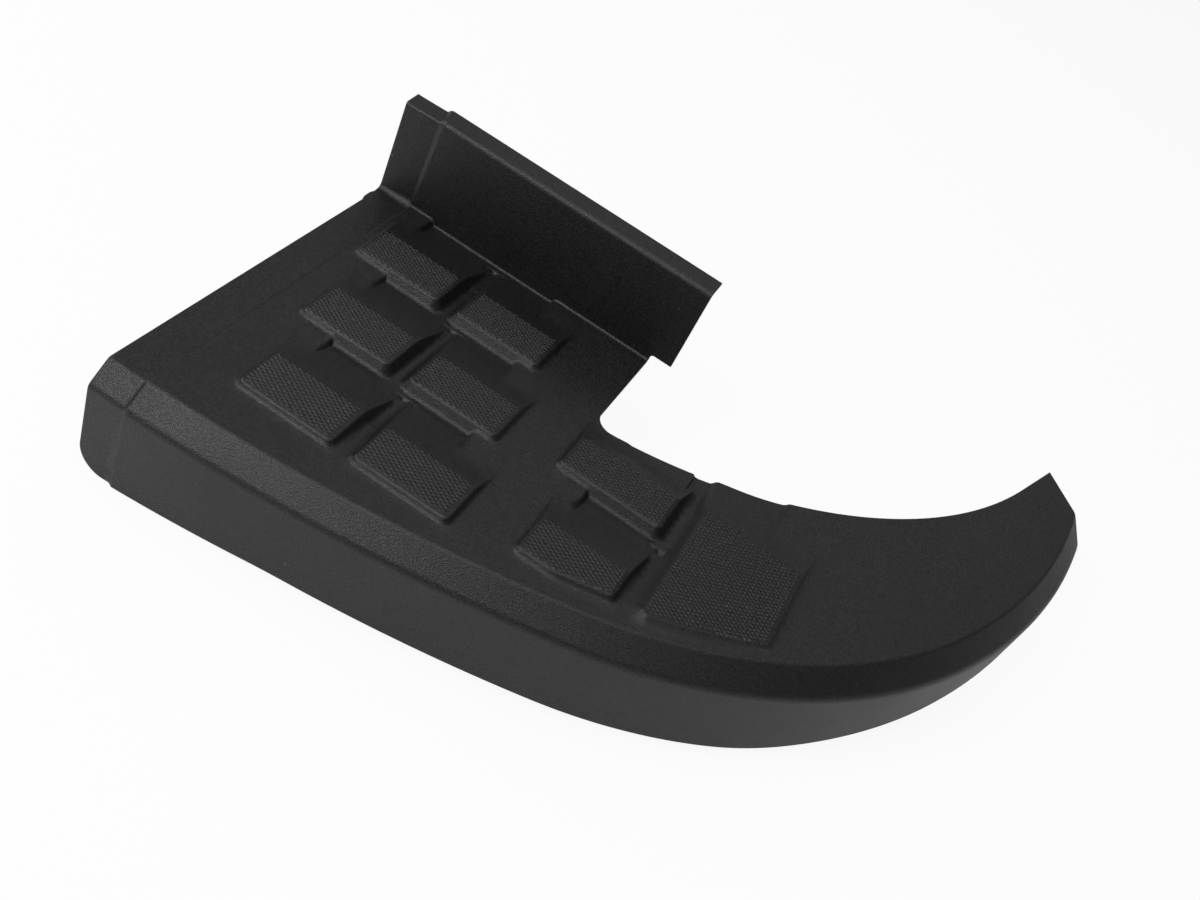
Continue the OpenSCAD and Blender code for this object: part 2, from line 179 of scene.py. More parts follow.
def walk(points, step):
    """Points along an open line, about one step apart, with its corners kept."""
    points = np.asarray(points, float)
    out = [points[:1]]
    for a, b in zip(points[:-1], points[1:]):
        n = max(1, int(round(np.linalg.norm(b - a) / step)))
        out.append(a + (b - a) * (np.arange(1, n + 1) / n)[:, None])
    return np.concatenate(out)


def round_corner(a, b, c, r, step):
    """Points of a round corner of radius r at b, on the way from a to c."""
    a, b, c = (np.asarray(p, float) for p in (a, b, c))
    u, v = (a - b) / np.linalg.norm(a - b), (c - b) / np.linalg.norm(c - b)
    half = math.acos(float(np.clip(u @ v, -1, 1))) / 2
    mid = (u + v) / np.linalg.norm(u + v)
    centre = b + mid * r / math.sin(half)
    first = b + u * r / math.tan(half) - centre
    start = math.atan2(first[1], first[0])
    sweep = (math.pi - 2 * half) * (-1 if u[0] * v[1] - u[1] * v[0] > 0 else 1)
    n = max(3, int(round(abs(sweep) * r / step)))
    t = start + sweep * np.arange(n + 1) / n
    return centre + r * np.stack([np.cos(t), np.sin(t)], -1)


def polygon_distance(q, poly):
    """Signed distance from the points q to a polygon, negative inside."""
    poly = np.asarray(poly, float)
    best = np.full(len(q), np.inf)
    inside = np.zeros(len(q), bool)
    for a, b in zip(poly, np.roll(poly, -1, 0)):
        e = b - a
        w = q - a
        t = np.clip((w @ e) / max(e @ e, 1e-12), 0, 1)
        best = np.minimum(best, ((w - t[:, None] * e) ** 2).sum(1))
        cross = ((a[1] > q[:, 1]) != (b[1] > q[:, 1])) & (
            q[:, 0] < e[0] * (q[:, 1] - a[1]) / (e[1] if e[1] else 1e-12) + a[0]
        )
        inside ^= cross
    return np.where(inside, -1, 1) * np.sqrt(best)


def offset_loop(poly, r, step):
    """The outline at distance r around a convex anticlockwise polygon, with round corners."""
    poly = np.asarray(poly, float)
    n = len(poly)
    pts = []
    for i in range(n):
        a, b, c = poly[i - 1], poly[i], poly[(i + 1) % n]
        h0 = math.atan2(*(b - a)[::-1])
        h1 = math.atan2(*(c - b)[::-1])
        turn = (h1 - h0 + math.pi) % (2 * math.pi) - math.pi
        m = max(1, int(math.ceil(abs(turn) * r / (0.6 * step))))
        if abs(turn) < 0.02:
            m = 0
        for j in range(m + 1):
            h = h0 + turn * (j / m if m else 0.5)
            pts.append(b + r * np.array([math.sin(h), -math.cos(h)]))
        d = c - b
        length = np.linalg.norm(d)
        k = int(length / step)
        out = r * np.array([d[1], -d[0]]) / length
        for j in range(1, k + 1):
            pts.append(b + d * j / (k + 1) + out)
    return np.array(pts)


class Chain:
    """A bent line of straight stretches and arcs, moved to its right by k.

    place(t, k) gives the point at length t along the sharp line, whose corner number zero is
    at t = 0. The sheet's material lies to the right of the line. extra makes the radius of the
    corners that turn left larger.
    """

    def __init__(self, points, radii, zero):
        self.p = np.array(points, float)
        d = np.diff(self.p, axis=0)
        length = np.linalg.norm(d, axis=1)
        self.d = d / length[:, None]
        self.t = np.concatenate([[0], np.cumsum(length)])
        self.t = self.t - self.t[zero]
        self.r = [0.0] + list(radii) + [0.0]
        right = np.stack([self.d[:, 1], -self.d[:, 0]], 1)
        self.mitre, self.turn = [right[0]], [0.0]
        for a, b in zip(right[:-1], right[1:]):
            self.mitre.append((a + b) / (1 + a @ b))
            self.turn.append(math.atan2(a[0] * b[1] - a[1] * b[0], a @ b))
        self.mitre.append(right[-1])
        self.turn.append(0.0)
        self.half = [math.tan(abs(a) / 2) for a in self.turn]
        self.w = [r * h for r, h in zip(self.r, self.half)]

    def place(self, t, k, extra=None):
        t = np.asarray(t, float)
        k = np.broadcast_to(np.asarray(k, float), t.shape)
        out = np.zeros(t.shape + (2,))
        last = len(self.p) - 1
        corner = [self.p[i] + k[:, None] * self.mitre[i] for i in range(last + 1)]
        radius, reach = [], []
        for i in range(last + 1):
            r = self.r[i] + (k if self.turn[i] > 0 else -k)
            if extra is not None and self.turn[i] > 0:
                r = r + extra
            radius.append(np.maximum(r, 0.3))
            reach.append(radius[i] * self.half[i])
        for i in range(last):
            a = corner[i] + reach[i][:, None] * self.d[i]
            b = corner[i + 1] - reach[i + 1][:, None] * self.d[i]
            t0, t1 = self.t[i] + self.w[i], self.t[i + 1] - self.w[i + 1]
            f = ((t - t0) / (t1 - t0))[:, None]
            low = t0 if i else -np.inf
            high = t1 if i < last - 1 else np.inf
            pos = a + (b - a) * f
            if i == 0:
                pos = np.where(f < 0, a + (t - t0)[:, None] * self.d[0], pos)
            m = (t >= low) & (t <= high)
            out[m] = pos[m]
        for i in range(1, last):
            w = self.w[i]
            m = np.abs(t - self.t[i]) < w
            alpha = abs(self.turn[i]) * (t - self.t[i] + w) / (2 * w)
            d = self.d[i - 1]
            side = np.array([-d[1], d[0]]) * (1 if self.turn[i] > 0 else -1)
            pos = (
                corner[i] - reach[i][:, None] * d
                + (radius[i] * np.sin(alpha))[:, None] * d
                + (radius[i] * (1 - np.cos(alpha)))[:, None] * side
            )
            out[m] = pos[m]
        return out


front_chain = Chain(
    [[-BEVEL_W - 2 * BEND_R, 0], [-BEVEL_W, 0], [0, -BEVEL_H], [0, -FORM_DEPTH]],
    [BEND_R, LOW_BEND_R], 1,
)
rear_chain = Chain(
    [[-3 * FOOT_R, 0], [0, 0], [LEAN_RUN, UPSTAND_H], [LEAN_RUN + LIP_W, UPSTAND_H]],
    [FOOT_R, BEND_R], 1,
)

# The front wall in plan
front_start = np.array([0, -TREAD_D])
turn_heading = FRONT_HEADING + FRONT_SWEEP
turn_start = arc_end(front_start, FRONT_HEADING, FRONT_R, FRONT_SWEEP)
horn_heading = turn_heading + TURN_SWEEP
horn_start = arc_end(turn_start, turn_heading, TURN_R, TURN_SWEEP)
CENTRES = np.array([
    arc_centre(front_start, FRONT_HEADING, FRONT_R),
    arc_centre(turn_start, turn_heading, TURN_R),
    arc_centre(horn_start, horn_heading, HORN_R),
])
RADII = np.array([FRONT_R, TURN_R, HORN_R])
JOINTS = (turn_heading, horn_heading)


def arc_of(heading):
    return np.where(heading < JOINTS[0], 0, np.where(heading < JOINTS[1], 1, 2))


def wall_plan(heading, out):
    """Plan of the wall's line at a heading, moved outwards."""
    heading = np.asarray(heading, float)
    i = arc_of(heading)
    return CENTRES[i] + (RADII[i] + out)[..., None] * out_vec(heading)


def nearest_wall(q):
    """Heading of the wall's nearest point, and distance outwards from the bevel's top line."""
    h = []
    for c in CENTRES:
        w = q - c
        h.append(np.degrees(np.arctan2(w[:, 0], -w[:, 1])))
    i = np.where(h[0] < JOINTS[0], 0, np.where(h[1] < JOINTS[1], 1, 2))
    heading = np.choose(i, h)
    rho = np.linalg.norm(q - CENTRES[i], axis=1)
    return heading, rho - RADII[i] + BEVEL_W


def front_at(x, out):
    """Y of the wall's line at x, moved outwards."""
    x = np.asarray(x, float)
    split = turn_start[0] + out * math.sin(rad(turn_heading))
    i = np.where(x < split, 0, 1)
    c, r = CENTRES[i], RADII[i] + out
    return c[..., 1] - np.sqrt(r * r - (x - c[..., 0]) ** 2)


# Pads, pits and channels
def left_x(row, column):
    return FIRST_X + ROW_SHIFT * row + COLUMN_PITCH * column


def rear_y(row):
    return -FIRST_Y - ROW_PITCH * row


def front_y(row):
    return rear_y(row) - PAD_L


def pad_posts(x0, x1, yf, yr, margin, slope):
    """Centres of a pad's round corners, as an anticlockwise polygon, and its ramp's reach."""
    xs = np.linspace(x0 + PAD_R, x1 - PAD_R, 13)
    ys = np.maximum(yf + PAD_R, front_at(xs, -BEVEL_W - margin - PAD_R))
    back = yr + (PAD_H + PIT_D) / slope + RAMP_SPARE
    line = np.stack([xs, ys], 1)
    return np.concatenate([line, [[xs[-1], back], [xs[0], back]]])


PADS = []
for row in range(3):
    for column in range(2):
        x = left_x(row, column)
        PADS.append((x, x + PAD_W, front_y(row), rear_y(row), LARGE_MARGIN, SLOPE))
second_rear = -MIDDLE_Y - ROW_PITCH
middle = (MIDDLE_X0, MIDDLE_X1, -MIDDLE_Y - MIDDLE_L, -MIDDLE_Y, MIDDLE_MARGIN)
PADS.append((*middle, SLOPE * ARCH_SLOPE))
PADS.append(
    (MIDDLE_X0 + ROW_SHIFT, MIDDLE_X1, second_rear - MIDDLE_L, second_rear, MIDDLE_MARGIN, SLOPE)
)
large_front = float(front_at(LARGE_X0 + PAD_R, -BEVEL_W - LARGE_MARGIN)) - PAD_R
PADS.append((LARGE_X0, LARGE_X1, large_front, -LARGE_Y, LARGE_MARGIN, LARGE_SLOPE))
POSTS = [pad_posts(*pad) for pad in PADS]

PITS = []
for row in range(3):
    x0 = left_x(row, 0) + PIT_SIDE
    x1 = left_x(row, 1) + PAD_W - ROW_SHIFT - PIT_SIDE
    PITS.append((x0, x1, rear_y(row), PAST_EDGE if row == 0 else front_y(row - 1), PIT_D))
pit_x0, pit_x1 = MIDDLE_X0 + 2 * ROW_SHIFT, MIDDLE_X1 + PAD_H * DRAFT
PITS.append((pit_x0, pit_x1, -MIDDLE_Y, PAST_EDGE, ARCH_PIT_D))
PITS.append((pit_x0, pit_x1, second_rear, -MIDDLE_Y - MIDDLE_L, PIT_D))
pit_x0 = LARGE_X0 - PAD_H * DRAFT
PITS.append(
    (pit_x0 - LARGE_PIT_LEAD, pit_x0 + LARGE_PIT_W, -LARGE_Y, PAST_EDGE, LARGE_PIT_D)
)


def landing_y(row):
    return 0.0 if row == 0 else front_y(row - 1) - WALL_RUN


CHANNELS = []
for row in range(3):
    start = landing_y(row) - LANDING + STEP_BACK - CHANNEL_DROP
    end = (front_y(row) - LANDING, -PIT_D) if row < 2 else (front_y(row), -TUCK)
    CHANNELS.append(
        (left_x(row, 0) + PAD_W, left_x(row, 1), (start, -PIT_D - CHANNEL_DROP), end)
    )
middle_start = -MIDDLE_Y - MIDDLE_L - WALL_RUN - LANDING + STEP_BACK - CHANNEL_DROP
CHANNELS.append(
    (MIDDLE_X1, LARGE_X0, (PAST_EDGE, -LARGE_PIT_D - TUCK), (middle_start, TUCK - PIT_D))
)
middle_end = float(front_at(LARGE_X0, -BEVEL_W - MIDDLE_MARGIN))
CHANNELS.append(
    (MIDDLE_X1, LARGE_X0, (middle_start, -PIT_D - CHANNEL_DROP), (middle_end, -TUCK))
)


def relief(q, k):
    """Height of the tread's surface, for the form moved in by k."""
    x, y = q[:, 0], q[:, 1]
    low = np.full(len(q), -k)
    shift = k * PIT_MITRE
    for x0, x1, y0, y1, depth in PITS:
        m = (x > x0 - NEAR) & (x < x1 + NEAR) & (y > y0 - NEAR)
        c = [(x0 + PIT_R, y0 + PIT_R), (x1 - PIT_R, y0 + PIT_R), (x1 - PIT_R, y1 - PIT_R),
             (x0 + PIT_R, y1 - PIT_R)]
        d = polygon_distance(q[m], c) - PIT_R - shift
        z = -depth - k + soft_ramp(d, EDGE_SOFT) / SOFT_DRAFT
        low[m] = soft_min(low[m], z, min(PIT_SOFT, depth))
    for x0, x1, start, end in CHANNELS:
        m = (x > x0 - NEAR) & (x < x1 + NEAR)
        xm, ym = x[m], y[m]
        slope = (end[1] - start[1]) / (end[0] - start[0])
        z = start[1] + (ym - start[0]) * slope - k
        z = z + soft_ramp((end[0] - LANDING / 2) - ym, EDGE_SOFT) / SOFT_DRAFT
        z = soft_max(z, start[1] - k + (ym - start[0] - k * END_MITRE), CHANNEL_END_SOFT)
        left = soft_ramp(x0 - k - xm, CHANNEL_WALL_SOFT)
        z = z + (left + soft_ramp(xm - x1 - k, CHANNEL_WALL_SOFT)) / DRAFT
        low[m] = soft_min(low[m], z, CHANNEL_SOFT)
    high = np.full(len(q), -BIG)
    blend = np.full(len(q), RAMP_SOFT)
    edge_r = max(PAD_EDGE_R - k, 0.3)
    for posts, (x0, x1, yf, yr, margin, slope) in zip(POSTS, PADS):
        m = (x > x0 - NEAR) & (x < x1 + NEAR) & (y > yf - NEAR_FRONT)
        draft = SOFT_DRAFT if slope >= SLOPE else LARGE_DRAFT
        lean = math.atan(draft)
        d = polygon_distance(q[m], posts) - PAD_R + k / math.cos(lean)
        reach = edge_r * math.tan(math.pi / 4 - lean / 2)
        a = np.clip(d + reach, 0, edge_r * math.cos(lean))
        drop = edge_r - np.sqrt(edge_r ** 2 - a ** 2)
        drop = drop + np.maximum(d + reach - edge_r * math.cos(lean), 0) / draft
        ramp = (yr - k * math.tan(math.atan(slope) / 2) - y[m]) * slope
        across = np.clip((x[m] - x0) / (x1 - x0), 0, 1)
        top = PAD_H - (LARGE_DROP * across if slope < SLOPE else 0.0)
        z = top - k + soft_min(-drop, ramp, EDGE_SOFT)
        near = np.clip((d + FOOT_LEAD) / FOOT_GROWTH, 0, 1)
        blend[m] = np.where(z > high[m], RAMP_SOFT + (FOOT_SOFT - RAMP_SOFT) * near, blend[m])
        high[m] = np.maximum(high[m], z)
    return soft_max(low, high, blend)


def lap_line(v):
    """X of the lap step's upper edge at v of the flat drawing."""
    up, over = np.clip(v / WALL_L, 0, 1), np.clip((v - WALL_L) / LIP_W, 0, 1)
    return LAP_DRIFT * up - LAP_TURN * over


def lap_width(v):
    """Width of the lap step at v of the flat drawing."""
    up, over = np.clip(v / WALL_L, 0, 1), np.clip((v - WALL_L) / LIP_W, 0, 1)
    return LAP_RUN * (1 + up - LAP_TAPER * over)


def surface(q, k=0.0):
    """The sheet's outer face, or its inner face with k as its thickness, at drawing points q."""
    u, v = q[:, 0], q[:, 1]
    n = len(q)
    lap_shift = k * math.tan(math.atan(LAP_D / LAP_RUN) / 2)
    s = lap_line(v) + lap_shift - u
    run = lap_width(v)
    lap = (soft_ramp(s, LAP_SOFT) - soft_ramp(s - run, LAP_SOFT)) / run
    kk = k + LAP_D * lap
    # The front, the bevel and the skirt
    wall = u < RIGHT_X + WALL_SPARE
    tread = (v <= 0) | ~wall
    h, d = nearest_wall(q)
    d = np.where(tread, d, -BIG)
    front = front_chain.place(d, kk)
    move = front[:, 0] + BEVEL_W - d
    move = np.where(d > -FRONT_REACH, move, 0.0)
    normal = out_vec(h)
    z = np.where(d > -FRONT_REACH, front[:, 1], -kk)
    x = u + normal[:, 0] * move
    y = v + normal[:, 1] * move
    # Pads and pits on the tread
    flat = np.where(tread, v, 0.0)
    local = relief(np.stack([u, flat], 1), k) + k
    fade = np.clip(1 + v / FOOT_FADE, 0, 1) * (v <= 0)
    foot = relief(np.stack([u, np.zeros(n)], 1), k) + k
    z = z + np.where(tread, local, 0)
    # The upstand and the lip
    back = wall & (v > -FOOT_REACH)
    extra = np.clip((u + LAP_W) / LAP_FOOT_REACH, 0, 1) * lap * LAP_FOOT_R
    rear = rear_chain.place(v, kk, extra)
    up = np.where(v > 0, np.clip(1 - v / WALL_L, 0, 1), fade)
    y = np.where(back, y - v + rear[:, 0] + foot * math.tan(LEAN) * up, y)
    z = np.where(back, z + rear[:, 1] + kk, z)
    z = np.where(tread, z, rear[:, 1] + foot * up)
    # The strip's top lies a little lower, most at its free edge
    z = z - lap * np.where(wall, np.clip(v / WALL_L, 0, 1), 0) * (1 + np.clip(-u / LAP_W, 0, 1))
    return np.stack([x, y, z], 1)


# The trimmed outline
def headings_for_x(xs):
    """Headings at which the outer wall has the given X."""
    table = np.linspace(-3, 60, 4000)
    return np.interp(xs, wall_plan(table, 0.0)[:, 0], table)


def drawing_point(heading, t):
    return wall_plan(heading, np.asarray(t, float) - BEVEL_W)


tip_dir = heading_vec(ARCH_HEADING + ARCH_SWEEP)
cut_dir = heading_vec(HORN_CUT)
arch_start = np.array([TREAD_W + ARCH_LEAD, -ARCH_D])
arch_foot = np.array([TREAD_W, -ARCH_D - ARCH_LEAD * math.tan(rad(ARCH_HEADING))])
arch_end = arc_end(arch_start, ARCH_HEADING, ARCH_R, ARCH_SWEEP)
horn_tip = arch_end + TIP_L * tip_dir


def cut_heading(t):
    """Heading at which the cut across the horn's end meets the sheet at length t."""
    a = front_chain.place(np.array([t]), 0.0)[0, 0]
    lo, hi = 60.0, 110.0
    for _ in range(50):
        mid = (lo + hi) / 2
        w = wall_plan(np.array([mid]), a)[0] - horn_tip
        if cut_dir[0] * w[1] - cut_dir[1] * w[0] > 0:
            hi = mid
        else:
            lo = mid
    return (lo + hi) / 2


def outline(step):
    """The sheet's edge in the flat drawing, anticlockwise from the lip's left end."""
    back_v = WALL_L + LIP_W
    pts = []
    # Left edge, from the lip forwards
    end_x = -LAP_W - LAP_FLARE
    line = [[end_x - LIP_SLANT, back_v], [end_x, WALL_L]]
    line += [[-LAP_W - out, y] for out, y in LEFT_EDGE]
    line.append([-LAP_W, -TREAD_D + BEVEL_W + 2])
    left = list(walk(line, step))
    left_heading = float(headings_for_x([-LAP_W])[0])
    # The skirt's lower edge, from its side view
    end_heading = cut_heading(BEVEL_L + CUT_DEPTH)
    end_x = float(wall_plan(np.array([end_heading]), 0.0)[0, 0])
    far = RISE_X + (end_x - RISE_X) * PAST_HORN
    far_z = -SKIRT + (SKIRT - SKIRT_HORN) * PAST_HORN
    a, b = [-LAP_W, 0], [-LAP_W, -SKIRT_LEFT]
    c, d, e = [LEVEL_X, -SKIRT], [RISE_X, -SKIRT], [far, far_z]
    corner = round_corner(a, b, c, SKIRT_CORNER_R, step)
    side = np.concatenate([
        corner, round_corner(b, c, d, LEVEL_R, step), round_corner(c, d, e, RISE_R, step), [e]
    ])
    ts = np.arange(0, BEVEL_L - BEVEL_H - corner[0, 1] - step / 2, step)
    left += [drawing_point(left_heading, t) for t in ts]
    lower = [drawing_point(headings_for_x(corner[:, 0]), BEVEL_L - BEVEL_H - corner[:, 1])]
    hs = [float(headings_for_x(corner[-1, 0]))]
    while hs[-1] < end_heading:
        reach = RADII[int(arc_of(hs[-1]))] + 60
        hs.append(hs[-1] + math.degrees(step / reach))
    hs = np.array(hs[1:-1])
    zs = np.interp(wall_plan(hs, 0.0)[:, 0], side[:, 0], side[:, 1])
    lower.append(drawing_point(hs, BEVEL_L - BEVEL_H - zs))
    lower = np.concatenate(lower)
    end_z = np.interp(end_x, side[:, 0], side[:, 1])
    # Up the horn's end, over the bevel and on to the tip
    ts = np.arange(BEVEL_L - BEVEL_H - end_z, 0, -step)
    end = np.array([drawing_point(cut_heading(t), t) for t in ts])
    top = drawing_point(cut_heading(0.0), 0.0)
    end = np.concatenate([end, walk([top, horn_tip], step)])
    # Back along the arch
    n = int(ARCH_R * rad(ARCH_SWEEP) / step)
    arc = np.array([
        arc_end(arch_start, ARCH_HEADING, ARCH_R, ARCH_SWEEP * i / n) for i in range(n, -1, -1)
    ])
    tip_line = walk([horn_tip, arch_end], step)[1:-1]
    bend = round_corner(arch_start, arch_foot, [TREAD_W, 0], ARCH_CORNER_R, step)
    # The notch under the overhang, and the lip's back edge
    notch = round_corner([TREAD_W, -20], [TREAD_W, OVERHANG_GAP], [RIGHT_X, OVERHANG_GAP],
                         NOTCH_R, 0.8)
    right = walk([notch[-1], [RIGHT_X, OVERHANG_GAP], [RIGHT_X, back_v],
                  line[0]], step)[1:-1]
    up = walk([bend[-1], notch[0]], step)[1:-1]
    return np.concatenate([left, lower, end, tip_line, arc, bend[1:], up, notch, right])


def clean_loop(loop, least):
    """Drop points closer than the least distance to the one before."""
    keep = [loop[0]]
    for p in loop[1:]:
        if np.linalg.norm(p - keep[-1]) > least:
            keep.append(p)
    if np.linalg.norm(keep[-1] - keep[0]) < least:
        keep.pop()
    return np.array(keep)


def inset(loop, e):
    """A closed loop moved in by e, with mitred corners."""
    before = loop - np.roll(loop, 1, 0)
    after = np.roll(loop, -1, 0) - loop
    before /= np.linalg.norm(before, axis=1)[:, None]
    after /= np.linalg.norm(after, axis=1)[:, None]
    a = np.stack([-before[:, 1], before[:, 0]], 1)
    b = np.stack([-after[:, 1], after[:, 0]], 1)
    return loop + e * (a + b) / (1 + (a * b).sum(1))[:, None]


# Points of the drawing
class Points:
    """Points that keep their distance, in a grid of cells."""

    def __init__(self, cell=2.0):
        self.cell, self.grid, self.list = cell, {}, []

    def add(self, pts, apart):
        c = self.cell
        reach = int(math.ceil(apart / c))
        a2 = apart * apart
        for x, y in pts:
            i, j = int(x // c), int(y // c)
            ok = True
            for di in range(-reach, reach + 1):
                for dj in range(-reach, reach + 1):
                    for px, py in self.grid.get((i + di, j + dj), ()):
                        if (px - x) ** 2 + (py - y) ** 2 < a2:
                            ok = False
                            break
                    if not ok:
                        break
                if not ok:
                    break
            if ok:
                self.grid.setdefault((i, j), []).append((x, y))
                self.list.append((x, y))

    def force(self, pts):
        c = self.cell
        for x, y in pts:
            self.grid.setdefault((int(x // c), int(y // c)), []).append((x, y))
            self.list.append((x, y))


def grain_nodes(index):
    """Nodes of a pad's diamond grain: lattice places inside the pad's flat top."""
    x0, x1, yf, yr = PADS[index][:4]
    i0, i1 = int(x0 / GRAIN_X), int(x1 / GRAIN_X) + 1
    j0, j1 = int(yf / GRAIN_Y) - 1, int(yr / GRAIN_Y) + 1
    i, j = np.meshgrid(np.arange(i0, i1), np.arange(j0, j1), indexing="ij")
    i, j = i.ravel(), j.ravel()
    q = np.stack([i * GRAIN_X, j * GRAIN_Y], 1)
    d = polygon_distance(q, POSTS[index]) - PAD_R
    m = (d < 0.5) & (q[:, 1] < yr + 1.0)
    return i[m], j[m], q[m]


def feature_rows(coarse):
    """Rows of points along the creases, with the distance that each keeps from the others."""
    rows = []
    step = 2.4 if coarse else 1.35
    offsets = (-1.2, 0.0, 1.2, 2.6) if coarse else (-1.5, -0.95, -0.45, 0, 0.45, 0.95, 1.5, 2.1)
    for posts in POSTS:
        for off in offsets:
            rows.append((offset_loop(posts, PAD_R + off, step), 0.32 if not coarse else 0.9))
        if not coarse:
            for off in (2.8, 3.5, 4.2):
                rows.append((offset_loop(posts, PAD_R + off, step), 0.6))
    for x0, x1, yf, yr, margin, slope in PADS:
        xs = np.arange(x0 + 1.5, x1 - 1, 1.6 if not coarse else 4)
        for off in ((-1.4, -0.7, 0, 0.7, 1.4) if not coarse else (-1.0, 1.0)):
            rows.append((np.stack([xs, np.full(len(xs), yr + off)], 1), 0.5))
        for z in (0, -PIT_D):
            y = yr + (PAD_H - z) / slope
            xs = np.arange(x0 - 1, x1 + 1, 2.0 if not coarse else 5)
            for off in (-2.4, -1.2, 0, 1.2, 2.4):
                rows.append((np.stack([xs, np.full(len(xs), y + off)], 1), 0.9))
    for x0, x1, y0, y1, depth in PITS:
        c = np.array([(x0 + PIT_R, y0 + PIT_R), (x1 - PIT_R, y0 + PIT_R),
                      (x1 - PIT_R, y1 - PIT_R), (x0 + PIT_R, y1 - PIT_R)])
        run = depth * DRAFT
        offs = sorted({-0.9, -0.35, 0.1, run * 0.5, run - 0.3, run + 0.15, run + 0.7})
        if coarse:
            offs = (-0.8, 0.3, run + 0.6)
        for off in offs:
            rows.append((offset_loop(c, PIT_R + off, step), 0.38 if not coarse else 0.9))
    for x0, x1, start, end in CHANNELS:
        xs = np.arange(x0 + 2.5, x1 - 2.4, 1.5 if not coarse else 4)
        for off in (-1.0, -0.4, 0.2, 0.9, 1.6, 2.1, 2.7, 3.4):
            rows.append((np.stack([xs, np.full(len(xs), start[0] + off)], 1), 0.45))
    # The lap step
    vs = np.arange(-TREAD_D + BEVEL_W, WALL_L + LIP_W, 1.3 if not coarse else 3)
    lap_offs = (-3.5, -2.9, -2.35, -1.8, -1.25, -0.7, -0.15, 0.4, 1.0)
    for off in lap_offs if not coarse else (-3.3, -2.2, -1.2, 0, 1.0):
        place = lap_line(vs) + off * np.where(np.array(off) < 0, lap_width(vs) / LAP_RUN, 1)
        rows.append((np.stack([place, vs], 1), 0.4))
        h = float(headings_for_x([off])[0])
        ts = np.arange(0.5, 120, 1.3 if not coarse else 3)
        rows.append((drawing_point(np.full(len(ts), h), ts), 0.4))
    # Foot, lip, bevel and skirt bends
    xs = np.arange(-LAP_W, RIGHT_X, 1.7 if not coarse else 4)
    w = rear_chain.w[1]
    for f in (-1.35, -1, -0.66, -0.33, 0, 0.33, 0.66, 1, 1.35):
        rows.append((np.stack([xs, np.full(len(xs), f * w)], 1), 0.5))
    w = rear_chain.w[2]
    for f in (-1, -0.7, -0.35, 0, 0.35, 0.7, 1):
        rows.append((np.stack([xs, np.full(len(xs), WALL_L + f * w)], 1), 1.0))
    hs = [-3.0]
    while hs[-1] < 100:
        hs.append(hs[-1] + math.degrees((2.2 if not coarse else 5) / RADII[int(arc_of(hs[-1]))]))
    hs = np.array(hs)
    for i in (1, 2):
        w = front_chain.w[i]
        for f in (-1.4, -1, -0.5, 0, 0.5, 1, 1.4):
            rows.append((drawing_point(hs, front_chain.t[i] + f * w), 0.7))
    # The skirt and the bevel in rows that follow the wall
    for t in np.arange(BEVEL_L + 6, BEVEL_L + 90, 4.5):
        rows.append((drawing_point(hs[::2], t), 1.8))
    for t in np.arange(5, BEVEL_L - 4, 3.5):
        rows.append((drawing_point(hs[::2], t), 1.6))
    return rows


def fill_rows(coarse):
    """Graded fill: fine near the pads' feet, coarse elsewhere."""
    rows = []
    for step, near in ((2.6, 5.0), (5.0, BIG)):
        if coarse and step < 5:
            continue
        xs = np.arange(-40, 700, step)
        ys = np.arange(-470, 200, step * 0.866)
        gx, gy = np.meshgrid(xs, ys, indexing="ij")
        gx = gx + step / 2 * (np.arange(len(ys)) % 2)[None, :]
        q = np.stack([gx.ravel(), gy.ravel()], 1)
        if near < BIG:
            best = np.full(len(q), BIG)
            for posts in POSTS:
                best = np.minimum(best, np.abs(polygon_distance(q, posts) - PAD_R))
            q = q[best < near]
        rows.append((q, 0.78 * step))
    return rows


def triangulate(loop, insets, coarse):
    """Triangles of the drawing inside its outline."""
    loops = [loop] + [inset(loop, e) for e in insets]
    pts = Points()
    fixed = []
    edges = []
    base = 0
    for ring in loops:
        n = len(ring)
        fixed.append(ring)
        edges += [(base + i, base + (i + 1) % n) for i in range(n)]
        base += n
    pts.force(np.concatenate(fixed))
    grain = {}
    cells = set()
    if not coarse:
        for index in range(len(PADS)):
            gi, gj, q = grain_nodes(index)
            keys = {}
            for a, b, p in zip(gi.tolist(), gj.tolist(), q):
                keys[(a, b)] = len(pts.list)
                pts.force([p])
                grain[keys[(a, b)]] = (a + b) % 2 == 0
            inner = set()
            for (a, b), n in keys.items():
                if all(node in keys for node in ((a + 1, b), (a - 1, b), (a, b + 1), (a, b - 1))):
                    inner.add(n)
                if (a + 1, b + 1) in keys and (a + 1, b) in keys and (a, b + 1) in keys:
                    cells.add((a, b))
                    if (a + b) % 2:
                        edges.append((n, keys[(a + 1, b + 1)]))
                    else:
                        edges.append((keys[(a + 1, b)], keys[(a, b + 1)]))
            for (a, b), n in keys.items():
                grain[n] = grain[n] and n in inner
    for row, apart in feature_rows(coarse) + fill_rows(coarse):
        d = polygon_distance(row, loops[-1])
        cell = np.floor(row / [GRAIN_X, GRAIN_Y]).astype(int).tolist()
        free = np.array([(a, b) not in cells for a, b in cell])
        pts.add(row[(d < -0.35 * apart - 0.25) & free], apart)
    verts = [Vector(p) for p in pts.list]
    out = delaunay_2d_cdt(verts, edges, [], 1, 1e-6, True)
    q = np.array([tuple(v) for v in out[0]])
    faces = np.array(out[2])
    origin = out[3]
    source = np.full(len(q), -1)
    for new, old in enumerate(origin):
        if old:
            source[new] = old[0]
    # Triangles outside the outline, in its hollows, have only outline points
    on_edge = ((source[faces] >= 0) & (source[faces] < len(loop))).all(1)
    outside = polygon_distance(q[faces[on_edge]].mean(1), loop) > 0
    keep = np.ones(len(faces), bool)
    keep[np.flatnonzero(on_edge)[outside]] = False
    return q, faces[keep], source, grain


